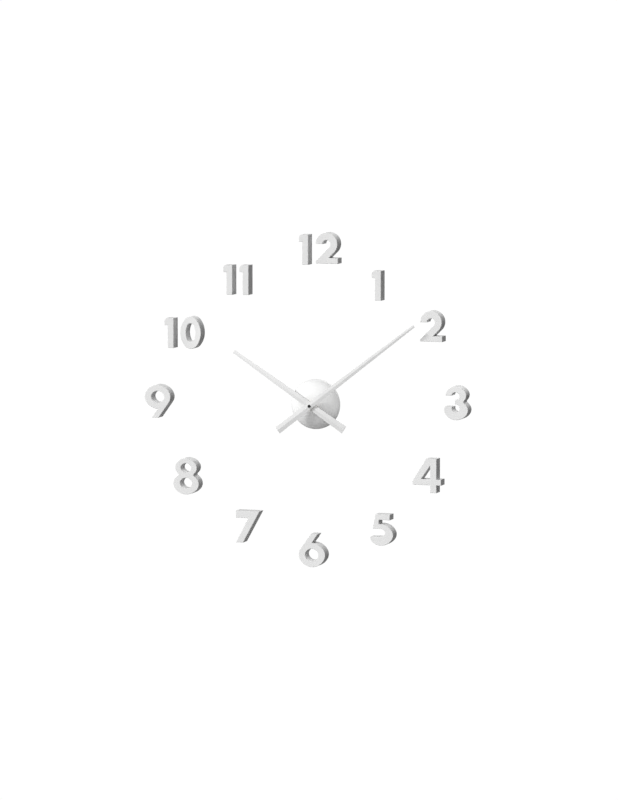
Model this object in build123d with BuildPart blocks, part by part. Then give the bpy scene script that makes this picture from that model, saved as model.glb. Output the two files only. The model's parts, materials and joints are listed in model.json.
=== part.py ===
import math
import os

from build123d import *

os.makedirs("parts", exist_ok=True)

# Frame: the wall is y = 0, the viewer stands on the -Y side, the hands turn about the Y axis
# Heights are distances from the wall towards the viewer, all lengths are millimetres

# Numerals
DIAL_RADIUS = 268.0
NUMERAL_HEIGHT = 60.0
NUMERAL_DEPTH = 21.5
NUMERAL_WALL = 2.0
NUMERAL_EDGE = 0.6
WAIST_ROUND = 2.5
PAD_THICKNESS = 1.0
PAD_SIDE = 7.0
OVAL_END_SHARE = 0.75
# Digit: glyph, its share of the numeral height, its middle in shares of the dial radius
DIGIT_SHARES = {
    "numeral_1": ("one", 0.885, 0.448, 0.813),
    "numeral_2": ("two", 0.910, 0.831, 0.553),
    "numeral_3": ("three", 1.007, 1.003, 0.047),
    "numeral_4": ("four", 1.018, 0.803, -0.445),
    "numeral_5": ("five", 0.945, 0.489, -0.823),
    "numeral_6": ("six", 1.008, -0.005, -0.983),
    "numeral_7": ("seven", 0.966, -0.463, -0.843),
    "numeral_8": ("eight", 1.104, -0.907, -0.517),
    "numeral_9": ("nine", 0.998, -1.111, -0.012),
    "numeral_10_one": ("one", 0.902, -1.026, 0.455),
    "numeral_10_zero": ("zero", 0.975, -0.871, 0.461),
    "numeral_11_left": ("one", 0.895, -0.603, 0.826),
    "numeral_11_right": ("one", 0.895, -0.487, 0.828),
    "numeral_12_one": ("one", 0.900, -0.064, 1.042),
    "numeral_12_two": ("two", 0.926, 0.100, 1.056),
}
# Glyph: width, and the places of its two pad posts, in shares of the glyph height
GLYPH_SHARES = {
    "one": (0.330, (0.222, 0.20), (0.222, 0.80)),
    "two": (0.759, (0.371, 0.880), (0.381, 0.091)),
    "three": (0.757, (0.369, 0.910), (0.380, 0.116)),
    "four": (0.878, (0.640, 0.110), (0.624, 0.895)),
    "five": (0.757, (0.404, 0.911), (0.342, 0.137)),
    "six": (0.840, (0.419, 0.092), (0.470, 0.920)),
    "seven": (0.785, (0.388, 0.888), (0.173, 0.100)),
    "eight": (0.750, (0.375, 0.932), (0.375, 0.083)),
    "nine": (0.840, (0.421, 0.908), (0.370, 0.080)),
    "zero": (0.680, (0.340, 0.895), (0.340, 0.105)),
}

# Hub cover and the parts that clamp it
HUB_CLEARANCE = 6.3
HUB_CORNER_CLEARANCE = 0.7
HUB_SKIRT = 5.0
HUB_WALL = 1.5
HUB_TOP_RADIUS = 8.5
HUB_SLEEVE_RADIUS = 7.5
BUSHING_RADIUS = 4.0
LOOSE_CLEARANCE = 0.15
RUNNING_CLEARANCE = 0.05
RUBBER_WASHER_RADIUS = 9.5
RUBBER_WASHER_THICKNESS = 1.0
BRASS_WASHER_RADIUS = 8.0
BRASS_WASHER_THICKNESS = 0.5
FIXING_NUT_RADIUS = 7.0
FIXING_NUT_THICKNESS = 2.5
FIXING_NUT_SIDES = 6
BUSHING_STANDOUT = 0.5

# Hands
HOUR_ANGLE = 302.8
HOUR_REACH = 172.5
HOUR_TAIL = 76.0
HOUR_TIP_WIDTH = 6.3
HOUR_TAIL_WIDTH = 15.0
MINUTE_ANGLE = 52.7
MINUTE_REACH = 246.5
MINUTE_TAIL = 75.5
MINUTE_TIP_WIDTH = 5.0
MINUTE_TAIL_WIDTH = 13.8
HAND_EDGE = 0.8
HAND_RIDGE_SHARE = 0.18
HAND_GAP = 1.4
COLLET_RADIUS = 4.0
COLLET_FLANGE = 0.8
COLLET_SLEEVE_WALL = 0.7
HAND_NUT_RADIUS = 2.5
HAND_NUT_HEIGHT = 3.0
HAND_NUT_CAP = 0.8
HAND_NUT_ROUND = 0.9

# Movement case
CASE_CORNER = 4.0
CASE_WALL = 1.2
CASE_FRONT_WALL = 1.3
BACK_COVER_THICKNESS = 1.5
COVER_CLEARANCE = 0.1
PARTITION_THICKNESS = 1.0
WHEEL_CLEARANCE = 0.4
POST_RADIUS = 2.5
POST_INSET = 4.1
SCREW_RADIUS = 1.1
SCREW_LENGTH = 8.0
SCREW_HEAD_TAPER = 45.0
PIVOT_DEPTH = 0.8
OVERRUN = 1.0

# Hanger bracket and wall pads
BRACKET_THICKNESS = 1.0
BRACKET_FOOT = 8.5
BRACKET_TAB_WIDTH = 18.0
BRACKET_RIM_GAP = 3.5
BRACKET_CORNER = 3.0
NAIL_HOLE_RADIUS = 2.5
NAIL_HOLE_INSET = 6.0
WALL_PAD_LENGTH = 48.0
WALL_PAD_GAP = 1.0

# Battery and electrics
BATTERY_RADIUS = 7.1
BATTERY_LENGTH = 50.5
BATTERY_NUB_RADIUS = 2.75
BATTERY_NUB_LENGTH = 1.0
BATTERY_EDGE = 0.6
BATTERY_PLAY = 0.35
BATTERY_RECESS = 0.4
CONTACT_SPRING_ROOM = 1.1
CONTACT_THICKNESS = 0.5
CONTACT_HEIGHT = 10.5
CONTACT_TOP = -4.0
CONTACT_SPRING_RADIUS = 3.5
CONTACT_SPRING_LEAN = 40.0
BOARD_THICKNESS = 0.8
BOARD_WIDTH = 7.8
BOARD_GAP = 0.4
CHIP_RADIUS = 2.6
CHIP_HEIGHT = 1.0
CHIP_PLACE = -12.0
CRYSTAL_RADIUS = 1.4
CRYSTAL_LENGTH = 8.0
CRYSTAL_PLACE = 14.0
COIL_RADIUS = 2.8
COIL_WINDING_RADIUS = 2.5
COIL_LENGTH = 25.0
COIL_FLANGE = 0.8
COIL_CLEARANCE = 0.5
COIL_GAP = 1.2
CORE_WIDTH = 2.0
STATOR_END_GAP = 1.2
STATOR_BAR_WIDTH = 1.9
STATOR_BAR_GAP = 0.3
STATOR_RING_RADIUS = 5.5
MAGNET_RADIUS = 2.9
MAGNET_AIR_GAP = 0.4

# Wheels: teeth and module of each meshing pair, and the way from one arbor to the next
PINION_TEETH = 6
CENTRE_TEETH = 48
CENTRE_MODULE = 0.4
THIRD_TEETH = 45
THIRD_MODULE = 1 / 3
SECOND_TEETH = 30
SECOND_MODULE = 0.4
INTERMEDIATE_TEETH = 36
INTERMEDIATE_MODULE = 1 / 3
CANNON_TEETH = 12
SETTING_TEETH = 36
SETTING_MODULE = 0.5
SETTING_PINION_TEETH = 10
HOUR_TEETH = 40
HOUR_MODULE = 0.48
THIRD_TURN = 25.0
SECOND_TURN = 75.0
INTERMEDIATE_TURN = 150.0
ROTOR_TURN = 180.0
SETTING_TURN = 135.0
# Tooth form: tip and root in modules from the pitch line, half widths in shares of the tooth pitch
TOOTH_TIP_SHARE = 0.8
TOOTH_ROOT_SHARE = 1.1
TOOTH_TIP_HALF_SHARE = 0.10
TOOTH_ROOT_HALF_SHARE = 0.25
ARBOR_RADIUS = 0.6
PIVOT_RADIUS = 0.4
MINUTE_SHAFT_RADIUS = 1.6
MINUTE_TIP_RADIUS = 1.4
SHOULDER_RADIUS = 2.6
HOUR_TUBE_RADIUS = 2.5
KNOB_RADIUS = 5.5
KNOB_STEM_RADIUS = 1.5
KNOB_FLUTES = 12
KNOB_FLUTE_RADIUS = 0.8
# Levels of the turning parts, in shares of the room between back cover and front wall
LEVEL_SHARES = {
    "magnet": (0.114, 0.341),
    "rotor_pinion": (0.341, 0.538),
    "intermediate_wheel": (0.447, 0.508),
    "intermediate_pinion": (0.508, 0.629),
    "second_wheel": (0.538, 0.598),
    "second_pinion": (0.598, 0.720),
    "third_wheel": (0.629, 0.682),
    "third_pinion": (0.508, 0.629),
    "centre_wheel": (0.538, 0.598),
    "shoulder": (0.470, 0.534),
    "clutch": (0.602, 0.704),
    "cannon": (0.7045, 0.811),
    "setting_wheel": (0.720, 0.795),
    "setting_pinion": (0.795, 0.947),
    "hour_wheel": (0.856, 0.932),
    "stator": (0.189, 0.250),
    "arbor": (0.016, 0.984),
}


def step(place, distance, turn):
    """Place at a distance and a turn from another place."""
    angle = math.radians(turn)
    return place[0] + distance * math.cos(angle), place[1] + distance * math.sin(angle)


# Places of the arbors, each one mesh away from the last
centre_place = (0, 0)
third_place = step(centre_place, CENTRE_MODULE * (CENTRE_TEETH + PINION_TEETH) / 2, THIRD_TURN)
second_place = step(third_place, THIRD_MODULE * (THIRD_TEETH + PINION_TEETH) / 2, SECOND_TURN)
intermediate_place = step(
    second_place, SECOND_MODULE * (SECOND_TEETH + PINION_TEETH) / 2, INTERMEDIATE_TURN
)
rotor_place = step(
    intermediate_place, INTERMEDIATE_MODULE * (INTERMEDIATE_TEETH + PINION_TEETH) / 2, ROTOR_TURN
)
setting_place = step(centre_place, SETTING_MODULE * (SETTING_TEETH + CANNON_TEETH) / 2, SETTING_TURN)

# The case is as wide as the battery with its contacts, and as high as battery, wheels and coil
contact_inside = (BATTERY_LENGTH + CONTACT_SPRING_ROOM) / 2
inner_half = contact_inside + CONTACT_THICKNESS
coil_place = rotor_place[1] + MAGNET_RADIUS + COIL_GAP + COIL_RADIUS
inner_top = coil_place + COIL_RADIUS + COVER_CLEARANCE
widest_wheel = max(
    CENTRE_MODULE * (CENTRE_TEETH / 2 + TOOTH_TIP_SHARE), HOUR_MODULE * (HOUR_TEETH / 2 + TOOTH_TIP_SHARE)
)
partition_high = -(widest_wheel + WHEEL_CLEARANCE)
partition_low = partition_high - PARTITION_THICKNESS
battery_place = partition_low - BATTERY_PLAY - BATTERY_RADIUS
inner_low = battery_place - BATTERY_RADIUS - BATTERY_PLAY
inner_middle = (inner_top + inner_low) / 2
inner_height = inner_top - inner_low
case_depth = CASE_FRONT_WALL + COVER_CLEARANCE + 2 * BATTERY_RADIUS + BATTERY_RECESS
post_places = [(side * (inner_half - POST_INSET), inner_top - POST_INSET) for side in (-1, 1)]

# Heights from the wall inside the case
case_back = PAD_THICKNESS
inside_back = case_back + BACK_COVER_THICKNESS
case_front = case_back + case_depth
inside_front = case_front - CASE_FRONT_WALL
battery_height = inside_front - BATTERY_RADIUS - COVER_CLEARANCE

# The hub cover clears the corners of the case
corner_round = CASE_CORNER - CASE_WALL
corner_reach = math.hypot(inner_half - corner_round, max(inner_top, -inner_low) - corner_round) + CASE_CORNER
hub_inner_radius = corner_reach + HUB_CLEARANCE
hub_radius = hub_inner_radius + HUB_WALL
corner_lean = math.sqrt(1 - (corner_reach / hub_inner_radius) ** 2)
hub_inner_dome = (case_front + HUB_CORNER_CLEARANCE - HUB_SKIRT) / corner_lean
hub_dome = hub_inner_dome + HUB_WALL

# Heights from the wall in front of the case
sleeve_back = case_front + RUBBER_WASHER_THICKNESS
hub_top = HUB_SKIRT + hub_dome * math.sqrt(1 - (HUB_TOP_RADIUS / hub_radius) ** 2)
nut_back = hub_top + BRASS_WASHER_THICKNESS
nut_front = nut_back + FIXING_NUT_THICKNESS
bushing_front = nut_front + BUSHING_STANDOUT
hour_collet_back = bushing_front + BUSHING_STANDOUT
hour_hand_back = hour_collet_back + COLLET_FLANGE
hour_sizes = (HOUR_REACH, HOUR_TAIL, HOUR_TIP_WIDTH, HOUR_TAIL_WIDTH)
minute_sizes = (MINUTE_REACH, MINUTE_TAIL, MINUTE_TIP_WIDTH, MINUTE_TAIL_WIDTH)


def ridge_rise(reach, tail, tip_width, tail_width):
    """Height of the ridge above the underside of a hand at its shaft."""
    width = tip_width + (tail_width - tip_width) * reach / (reach + tail)
    return HAND_EDGE + HAND_RIDGE_SHARE * width / 2


hour_hand_front = hour_hand_back + ridge_rise(*hour_sizes)
minute_collet_back = hour_hand_front + HAND_GAP
minute_hand_back = minute_collet_back + COLLET_FLANGE
minute_seat = minute_hand_back + HAND_EDGE
hand_nut_front = minute_seat + HAND_NUT_HEIGHT


def level(height):
    """Plane parallel to the wall, facing the viewer."""
    return Plane.XZ.offset(height)


def between(name):
    """Heights of a turning part inside the movement."""
    room = inside_front - inside_back
    low, high = LEVEL_SHARES[name]
    return inside_back + low * room, inside_back + high * room


def save(part, label):
    """Label a part and write its file."""
    part.label = label
    export_step(part, f"parts/{label}.step")


# Numerals
def closed_face(points, mode=Mode.ADD):
    """Straight-sided face in the current sketch."""
    with BuildLine() as path:
        Polyline(*points, close=True)
    make_face(path.edges(), mode=mode)


def oval(half_width, half_height, middle, mode=Mode.ADD):
    """Oval of four tangent arcs in the current sketch."""
    short, long = sorted((half_width, half_height))
    end_radius = OVAL_END_SHARE * short
    side_radius = (short**2 + long**2 - 2 * long * end_radius) / (2 * (short - end_radius))
    reach = math.hypot(side_radius - short, long - end_radius)
    across = short - side_radius + side_radius * (side_radius - short) / reach
    along = side_radius * (long - end_radius) / reach
    corners = [(-across, along), (across, along), (across, -along), (-across, -along)]
    crowns = [(0, long), (short, 0), (0, -long), (-short, 0)]
    if half_width > half_height:
        corners = [(z, x) for x, z in corners]
        crowns = [(z, x) for x, z in crowns]
    corners = [(x + middle[0], z + middle[1]) for x, z in corners]
    crowns = [(x + middle[0], z + middle[1]) for x, z in crowns]
    with BuildLine() as path:
        for turn, crown in enumerate(crowns):
            ThreePointArc(corners[turn], crown, corners[(turn + 1) % len(corners)])
    make_face(path.edges(), mode=mode)


def two_bowls(glyph, size, shares):
    """Two stacked ovals in the current sketch, with a rounded waist."""
    for width, height, x, z in shares:
        oval(width * size, height * size, (x * size, z * size))
    waist = shares[0][3] - shares[0][1], shares[1][3] + shares[1][1]
    waist_middle = sum(waist) * size / 2
    near = glyph.vertices().sort_by(lambda corner: abs(corner.Y - waist_middle))
    fillet(near[:2], radius=WAIST_ROUND)


def scaled(size, points):
    """Points given in shares of a size."""
    return [(size * x, size * z) for x, z in points]


def tangent_point(middle, radius, point, side):
    """Point where the line from a point touches a circle."""
    away = math.atan2(point[1] - middle[1], point[0] - middle[0])
    spread = math.acos(radius / math.dist(point, middle))
    return step(middle, radius, math.degrees(away + side * spread))


def glyph_one(size):
    shares = [(0, 0.76), (0, 0.935), (0.065, 1), (0.33, 1), (0.33, 0), (0.115, 0), (0.115, 0.76)]
    with BuildSketch() as glyph:
        closed_face(scaled(size, shares))
    return glyph.sketch


def glyph_two(size):
    outer_share, inner_share, bar_share, width_share = 0.371, 0.132, 0.182, 0.759
    outer, inner = outer_share * size, inner_share * size
    middle = (outer, size - outer)
    shares = [(0.445, bar_share), (width_share, bar_share), (width_share, 0), (0, 0), (0, 0.06)]
    foot = scaled(size, shares)
    outer_touch = tangent_point(middle, outer, foot[0], 1)
    inner_touch = tangent_point(middle, inner, foot[-1], 1)
    with BuildSketch() as glyph:
        with BuildLine():
            ThreePointArc((0, middle[1]), (outer, size), outer_touch)
            Polyline(outer_touch, *foot, inner_touch)
            ThreePointArc(inner_touch, (outer, middle[1] + inner), (outer - inner, middle[1]))
            Line((outer - inner, middle[1]), (0, middle[1]))
        make_face()
    return glyph.sketch


def glyph_three(size):
    bowl_shares = [(0.323, 0.269, 0.379, 0.731), (0.37, 0.295, 0.387, 0.295)]
    hole_share = 0.117
    hole_place_shares = [(0.365, 0.705), (0.378, 0.349)]
    gap_shares = [(-0.1, 0.388), (0.349, 0.388), (0.349, 0.721), (-0.1, 0.721)]
    with BuildSketch() as glyph:
        two_bowls(glyph, size, bowl_shares)
        with Locations(*scaled(size, hole_place_shares)):
            Circle(hole_share * size, mode=Mode.SUBTRACT)
        closed_face(scaled(size, gap_shares), mode=Mode.SUBTRACT)
    return glyph.sketch


def glyph_four(size):
    shares = [(0, 0.224), (0.005, 0.35), (0.416, 1), (0.736, 1), (0.736, 0.395), (0.878, 0.395)]
    shares += [(0.878, 0.224), (0.736, 0.224), (0.736, 0), (0.544, 0), (0.544, 0.224)]
    hole_shares = [(0.264, 0.395), (0.541, 0.802), (0.541, 0.395)]
    with BuildSketch() as glyph:
        closed_face(scaled(size, shares))
        closed_face(scaled(size, hole_shares), mode=Mode.SUBTRACT)
    return glyph.sketch


def glyph_five(size):
    flag_shares = [(0.164, 1), (0.648, 1), (0.648, 0.822), (0.286, 0.822), (0.267, 0.536), (0.077, 0.536)]
    side_shares = [(-0.1, 0.536), (0.077, 0.536), (0.164, 1), (-0.1, 1)]
    gap_shares = [(-0.1, 0.274), (0.322, 0.274), (0.322, 0.536), (-0.1, 0.536)]
    end_shares = [(-0.1, -0.1), (0, -0.1), (0, 0.274), (-0.1, 0.274)]
    bowl_share, rise_share, hole_share, hole_rise_share = 0.408, 0.344, 0.158, 0.133
    place_shares = [(0.349, 0.344), (0.322, 0.407)]
    bowl_place, hole_place = scaled(size, place_shares)
    with BuildSketch() as glyph:
        oval(bowl_share * size, rise_share * size, bowl_place)
        closed_face(scaled(size, flag_shares))
        oval(hole_share * size, hole_rise_share * size, hole_place, mode=Mode.SUBTRACT)
        for cut_shares in (side_shares, gap_shares, end_shares):
            closed_face(scaled(size, cut_shares), mode=Mode.SUBTRACT)
    return glyph.sketch


def glyph_six(size):
    bowl_share, rise_share, hole_share, hole_rise_share = 0.42, 0.365, 0.207, 0.184
    place_shares = [(0.42, 0.365), (0.416, 0.368)]
    arm_shares = [(0.39, 1), (0.606, 1), (0.364, 0.65)]
    bowl_place, hole_place = scaled(size, place_shares)
    top_left, top_right, neck = scaled(size, arm_shares)
    end_radius_share = OVAL_END_SHARE * rise_share
    crown_share = rise_share**2 + bowl_share**2 - 2 * bowl_share * end_radius_share
    crown_share = crown_share / (2 * (rise_share - end_radius_share))
    crown_place = (bowl_place[0], bowl_place[1] + (rise_share - crown_share) * size)
    touch = tangent_point(crown_place, crown_share * size, top_left, 1)
    with BuildSketch() as glyph:
        oval(bowl_share * size, rise_share * size, bowl_place)
        closed_face([touch, top_left, top_right, neck, bowl_place])
        oval(hole_share * size, hole_rise_share * size, hole_place, mode=Mode.SUBTRACT)
    return glyph.sketch


def glyph_seven(size):
    shares = [(0, 1), (0.785, 1), (0.24, 0), (0, 0), (0.407, 0.777), (0, 0.777)]
    with BuildSketch() as glyph:
        closed_face(scaled(size, shares))
    return glyph.sketch


def glyph_eight(size):
    bowl_shares = [(0.32, 0.258, 0.375, 0.742), (0.375, 0.294, 0.375, 0.294)]
    hole_shares = [(0.153, 0.128, 0.375, 0.736), (0.173, 0.147, 0.375, 0.313)]
    with BuildSketch() as glyph:
        two_bowls(glyph, size, bowl_shares)
        for width, height, x, z in hole_shares:
            oval(width * size, height * size, (x * size, z * size), mode=Mode.SUBTRACT)
    return glyph.sketch


def glyph_nine(size):
    width_share = GLYPH_SHARES["nine"][0]
    return Pos(width_share * size, size) * Rot(0, 0, 180) * glyph_six(size)


def glyph_zero(size):
    half_share, hole_share, hole_rise_share = 0.34, 0.153, 0.291
    middle = (half_share * size, size / 2)
    with BuildSketch() as glyph:
        oval(half_share * size, size / 2, middle)
        oval(hole_share * size, hole_rise_share * size, middle, mode=Mode.SUBTRACT)
    return glyph.sketch


GLYPHS = {
    "one": glyph_one,
    "two": glyph_two,
    "three": glyph_three,
    "four": glyph_four,
    "five": glyph_five,
    "six": glyph_six,
    "seven": glyph_seven,
    "eight": glyph_eight,
    "nine": glyph_nine,
    "zero": glyph_zero,
}

pad_places = []
for label, (glyph_name, height_share, x_share, z_share) in DIGIT_SHARES.items():
    size = height_share * NUMERAL_HEIGHT
    width_share, first_post_shares, second_post_shares = GLYPH_SHARES[glyph_name]
    corner = (DIAL_RADIUS * x_share - width_share * size / 2, DIAL_RADIUS * z_share - size / 2)
    outline = Pos(*corner) * GLYPHS[glyph_name](size)
    posts = scaled(size, [first_post_shares, second_post_shares])
    posts = [(corner[0] + x, corner[1] + z) for x, z in posts]
    pad_places += posts
    with BuildSketch() as hollow:
        add(outline)
        offset(amount=-NUMERAL_WALL, mode=Mode.REPLACE)
    with BuildPart() as numeral:
        with BuildSketch(level(PAD_THICKNESS)):
            add(outline)
        extrude(amount=NUMERAL_DEPTH)
        chamfer(numeral.faces().sort_by(Axis.Y)[0].edges(), length=NUMERAL_EDGE)
        with BuildSketch(level(PAD_THICKNESS)):
            add(hollow.sketch)
        extrude(amount=NUMERAL_DEPTH - NUMERAL_WALL, mode=Mode.SUBTRACT)
        with BuildSketch(level(PAD_THICKNESS)):
            with Locations(*posts):
                Rectangle(PAD_SIDE, PAD_SIDE)
        extrude(amount=NUMERAL_DEPTH - NUMERAL_WALL)
    save(numeral.part, label)

with BuildPart() as numeral_adhesive_pads:
    with BuildSketch(level(0)):
        with Locations(*pad_places):
            Rectangle(PAD_SIDE, PAD_SIDE)
    extrude(amount=PAD_THICKNESS)
save(numeral_adhesive_pads.part, "numeral_adhesive_pads")

# Hub cover, turned about the hand axis
turning = -Plane.XY
bore = BUSHING_RADIUS + LOOSE_CLEARANCE
sleeve_join = HUB_SKIRT + hub_inner_dome * math.sqrt(1 - (HUB_SLEEVE_RADIUS / hub_inner_radius) ** 2)
outer_turn = math.degrees(math.acos(HUB_TOP_RADIUS / hub_radius))
inner_turn = math.degrees(math.acos(HUB_SLEEVE_RADIUS / hub_inner_radius))
with BuildPart() as hub_cover:
    with BuildSketch(turning):
        with BuildLine():
            Line((hub_radius, 0), (hub_radius, HUB_SKIRT))
            EllipticalCenterArc((0, HUB_SKIRT), hub_radius, hub_dome, arc_size=outer_turn)
            Polyline((HUB_TOP_RADIUS, hub_top), (bore, hub_top), (bore, sleeve_back))
            Polyline((bore, sleeve_back), (HUB_SLEEVE_RADIUS, sleeve_back), (HUB_SLEEVE_RADIUS, sleeve_join))
            EllipticalCenterArc((0, HUB_SKIRT), hub_inner_radius, hub_inner_dome, arc_size=inner_turn)
            Polyline((hub_inner_radius, HUB_SKIRT), (hub_inner_radius, 0), (hub_radius, 0))
        make_face()
    revolve(axis=Axis.Y)
save(hub_cover.part, "hub_cover")


def ring(low, high, radius, hole):
    """Plain ring about the hand axis in the current part."""
    with BuildSketch(level(low)) as profile:
        Circle(radius)
        Circle(hole, mode=Mode.SUBTRACT)
    extrude(profile.sketch, amount=high - low)


with BuildPart() as rubber_washer:
    ring(case_front, sleeve_back, RUBBER_WASHER_RADIUS, bore)
save(rubber_washer.part, "rubber_washer")

with BuildPart() as brass_washer:
    ring(hub_top, nut_back, BRASS_WASHER_RADIUS, bore)
save(brass_washer.part, "brass_washer")

with BuildPart() as fixing_nut:
    with BuildSketch(level(nut_back)):
        RegularPolygon(FIXING_NUT_RADIUS, FIXING_NUT_SIDES)
        Circle(BUSHING_RADIUS, mode=Mode.SUBTRACT)
    extrude(amount=FIXING_NUT_THICKNESS)
save(fixing_nut.part, "fixing_nut")

with BuildPart() as threaded_bushing:
    ring(inside_front, bushing_front, BUSHING_RADIUS, HOUR_TUBE_RADIUS + RUNNING_CLEARANCE)
save(threaded_bushing.part, "threaded_bushing")


# Hands
def hand_section(angle, along, back, width):
    """Cross-section of a hand with its shallow ridge."""
    turn = math.radians(angle)
    way = Vector(math.sin(turn), 0, math.cos(turn))
    across = Vector(math.cos(turn), 0, -math.sin(turn))
    half = width / 2
    ridge = HAND_EDGE + HAND_RIDGE_SHARE * half
    with BuildSketch(Plane(origin=way * along - Vector(0, back, 0), x_dir=across, z_dir=-way)) as profile:
        closed_face([(-half, 0), (half, 0), (half, HAND_EDGE), (0, ridge), (-half, HAND_EDGE)])
    return profile.sketch


def hand(angle, sizes, back, hole):
    """Tapered hand lofted from its tail to its tip, in the current part."""
    reach, tail, tip_width, tail_width = sizes
    tail_section = hand_section(angle, -tail, back, tail_width)
    tip_section = hand_section(angle, reach, back, tip_width)
    loft([tail_section, tip_section], ruled=True)
    with BuildSketch(level(back)) as profile:
        Circle(hole)
    extrude(profile.sketch, amount=ridge_rise(*sizes) + OVERRUN, mode=Mode.SUBTRACT)


hour_sleeve = HOUR_TUBE_RADIUS + COLLET_SLEEVE_WALL
minute_sleeve = MINUTE_TIP_RADIUS + COLLET_SLEEVE_WALL

with BuildPart() as hour_hand:
    hand(HOUR_ANGLE, hour_sizes, hour_hand_back, hour_sleeve)
save(hour_hand.part, "hour_hand")

with BuildPart() as hour_hand_collet:
    ring(hour_collet_back, hour_hand_back, COLLET_RADIUS, HOUR_TUBE_RADIUS)
    ring(hour_hand_back, hour_hand_front, hour_sleeve, HOUR_TUBE_RADIUS)
save(hour_hand_collet.part, "hour_hand_collet")

with BuildPart() as minute_hand:
    hand(MINUTE_ANGLE, minute_sizes, minute_hand_back, minute_sleeve)
    with BuildSketch(level(minute_seat)):
        Circle(HAND_NUT_RADIUS + LOOSE_CLEARANCE)
    extrude(amount=HAND_NUT_HEIGHT, mode=Mode.SUBTRACT)
save(minute_hand.part, "minute_hand")

with BuildPart() as minute_hand_collet:
    ring(minute_collet_back, minute_hand_back, COLLET_RADIUS, MINUTE_TIP_RADIUS)
    ring(minute_hand_back, minute_seat, minute_sleeve, MINUTE_TIP_RADIUS)
save(minute_hand_collet.part, "minute_hand_collet")

with BuildPart() as hand_nut:
    with BuildSketch(level(minute_seat)):
        Circle(HAND_NUT_RADIUS)
    extrude(amount=HAND_NUT_HEIGHT)
    fillet(hand_nut.faces().sort_by(Axis.Y)[0].edges(), radius=HAND_NUT_ROUND)
    with BuildSketch(level(minute_seat)):
        Circle(MINUTE_TIP_RADIUS)
    extrude(amount=HAND_NUT_HEIGHT - HAND_NUT_CAP, mode=Mode.SUBTRACT)
save(hand_nut.part, "hand_nut")


# Wheels
def toothed(teeth, module, phase, place, low, high):
    """Toothed ring in the current part, with one tooth pointing along the phase."""
    pitch = 360 / teeth
    tip = module * (teeth / 2 + TOOTH_TIP_SHARE)
    root = module * (teeth / 2 - TOOTH_ROOT_SHARE)
    form = [(root, -TOOTH_ROOT_HALF_SHARE), (tip, -TOOTH_TIP_HALF_SHARE)]
    form += [(tip, TOOTH_TIP_HALF_SHARE), (root, TOOTH_ROOT_HALF_SHARE)]
    corners = []
    for tooth in range(teeth):
        corners += [step(place, radius, phase + pitch * (tooth + lean)) for radius, lean in form]
    with BuildSketch(level(low)) as profile:
        closed_face(corners)
    extrude(profile.sketch, amount=high - low)


def gap_phase(teeth, turn):
    """Phase that leaves a gap between two teeth pointing back along a turn."""
    return turn + 180 + 180 / teeth


def rod(place, radius, low, high, mode=Mode.ADD):
    """Round rod along the hand axis in the current part."""
    with BuildSketch(level(low)) as profile:
        with Locations(place):
            Circle(radius)
    extrude(profile.sketch, amount=high - low, mode=mode)


def arbor(place):
    """Arbor between the back cover and the front wall with a thinner pivot at each end."""
    low, high = between("arbor")
    rod(place, ARBOR_RADIUS, low, high)
    rod(place, PIVOT_RADIUS, inside_back - PIVOT_DEPTH, low)
    rod(place, PIVOT_RADIUS, high, inside_front + PIVOT_DEPTH)


with BuildPart() as rotor:
    arbor(rotor_place)
    rod(rotor_place, MAGNET_RADIUS, *between("magnet"))
    toothed(PINION_TEETH, INTERMEDIATE_MODULE, ROTOR_TURN + 180, rotor_place, *between("rotor_pinion"))
save(rotor.part, "rotor")

with BuildPart() as intermediate_wheel:
    arbor(intermediate_place)
    toothed(
        INTERMEDIATE_TEETH,
        INTERMEDIATE_MODULE,
        gap_phase(INTERMEDIATE_TEETH, ROTOR_TURN + 180),
        intermediate_place,
        *between("intermediate_wheel"),
    )
    toothed(
        PINION_TEETH,
        SECOND_MODULE,
        INTERMEDIATE_TURN + 180,
        intermediate_place,
        *between("intermediate_pinion"),
    )
save(intermediate_wheel.part, "intermediate_wheel")

with BuildPart() as second_wheel:
    arbor(second_place)
    toothed(
        SECOND_TEETH,
        SECOND_MODULE,
        gap_phase(SECOND_TEETH, INTERMEDIATE_TURN + 180),
        second_place,
        *between("second_wheel"),
    )
    toothed(PINION_TEETH, THIRD_MODULE, SECOND_TURN + 180, second_place, *between("second_pinion"))
save(second_wheel.part, "second_wheel")

with BuildPart() as third_wheel:
    arbor(third_place)
    toothed(
        THIRD_TEETH,
        THIRD_MODULE,
        gap_phase(THIRD_TEETH, SECOND_TURN + 180),
        third_place,
        *between("third_wheel"),
    )
    toothed(PINION_TEETH, CENTRE_MODULE, THIRD_TURN + 180, third_place, *between("third_pinion"))
save(third_wheel.part, "third_wheel")

with BuildPart() as centre_wheel:
    toothed(
        CENTRE_TEETH,
        CENTRE_MODULE,
        gap_phase(CENTRE_TEETH, THIRD_TURN + 180),
        centre_place,
        *between("centre_wheel"),
    )
    low, high = between("centre_wheel")
    rod(centre_place, MINUTE_SHAFT_RADIUS + RUNNING_CLEARANCE, low, high, mode=Mode.SUBTRACT)
save(centre_wheel.part, "centre_wheel")

with BuildPart() as clutch_spring:
    ring(*between("clutch"), SHOULDER_RADIUS, MINUTE_SHAFT_RADIUS)
save(clutch_spring.part, "clutch_spring")

with BuildPart() as minute_shaft:
    shoulder_low, shoulder_high = between("shoulder")
    rod(centre_place, PIVOT_RADIUS, inside_back - PIVOT_DEPTH, shoulder_low)
    rod(centre_place, SHOULDER_RADIUS, shoulder_low, shoulder_high)
    rod(centre_place, MINUTE_SHAFT_RADIUS, shoulder_high, minute_collet_back)
    rod(centre_place, MINUTE_TIP_RADIUS, minute_collet_back, hand_nut_front - HAND_NUT_CAP)
    toothed(CANNON_TEETH, SETTING_MODULE, SETTING_TURN, centre_place, *between("cannon"))
save(minute_shaft.part, "minute_shaft")

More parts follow.
